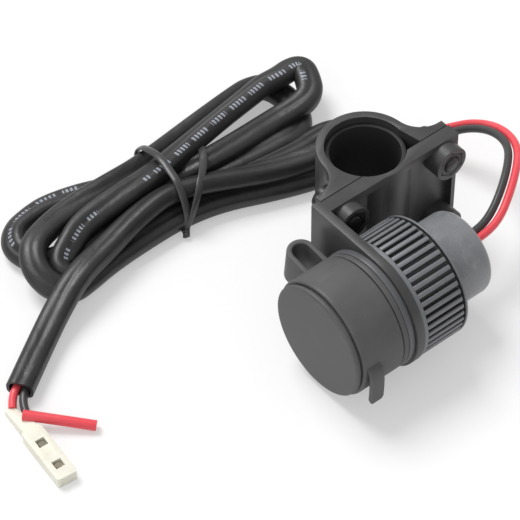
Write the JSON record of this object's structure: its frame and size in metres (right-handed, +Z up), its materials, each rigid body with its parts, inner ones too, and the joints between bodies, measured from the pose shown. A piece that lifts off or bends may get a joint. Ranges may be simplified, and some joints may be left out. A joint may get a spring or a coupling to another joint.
{
  "type": "dual usb socket",
  "caption": "Handlebar clamp that carries a capped round USB power socket with stacked ports, a ribbed ring nut and a sleeved red and black lead tied in a hank.",
  "frame": {"origin": "On the axis of the clamp's bore, at the clamp's lower face, which is the table", "axes": "+Z up along the clamp's bore, +X from the bore to the socket, +Y from the cap to the socket's rear"},
  "size_m": [0.1334, 0.1849, 0.0408],
  "materials": {
    "bracket_plastic": "satin moulded black",
    "liner_rubber": "matt black",
    "fastener_steel": "black finish",
    "socket_plastic": "satin moulded black",
    "cover_plastic": "semi-gloss black",
    "cap_rubber": "matt dark grey",
    "shell_steel": "bright plated",
    "tongue_plastic": "white",
    "contact_gold": "gold plated",
    "board_green": "solder mask",
    "component_dark": "matt",
    "capacitor_can": "plain",
    "wire_red": "smooth sheath",
    "wire_black": "smooth sheath",
    "sleeve_black": "smooth soft sheath",
    "tie_black": "satin",
    "connector_cream": "satin"
  },
  "bodies": {
    "root": {"bracket": "bracket_plastic", "clamp_strap": "bracket_plastic", "reducer_liner": "liner_rubber", "clamp_screws": "fastener_steel", "clamp_nuts": "fastener_steel", "socket_body": "socket_plastic", "ring_nut": "socket_plastic", "rear_cover": "cover_plastic", "wire_grommet": "liner_rubber", "cap_strap": "cap_rubber", "cap_ring": "cap_rubber", "usb_face": "socket_plastic", "usb_shell_upper": "shell_steel", "usb_shell_lower": "shell_steel", "usb_tongue_upper": "tongue_plastic", "usb_tongue_lower": "tongue_plastic", "usb_contacts": "contact_gold", "circuit_board": "board_green", "power_inductor": "component_dark", "filter_capacitors": "capacitor_can", "converter_chip": "component_dark", "red_lead": "wire_red", "black_lead": "wire_black", "red_wire": "wire_red", "black_wire": "wire_black", "sleeve_lead": "sleeve_black", "sleeve_hank": "sleeve_black", "sleeve_tail": "sleeve_black", "hank_tie": "tie_black", "tail_red_wire": "wire_red", "tail_black_wire": "wire_black", "connector": "connector_cream", "connector_contacts": "contact_gold", "red_pigtail": "wire_red"},
    "cap": {"cap": "cap_rubber"}
  },
  "joints": [
    {"name": "cap_pull", "type": "slide", "parent": "root", "child": "cap", "axis": [0, -1, 0], "range_m": [0, 0.016], "deforming": ["cap_strap"]}
  ]
}
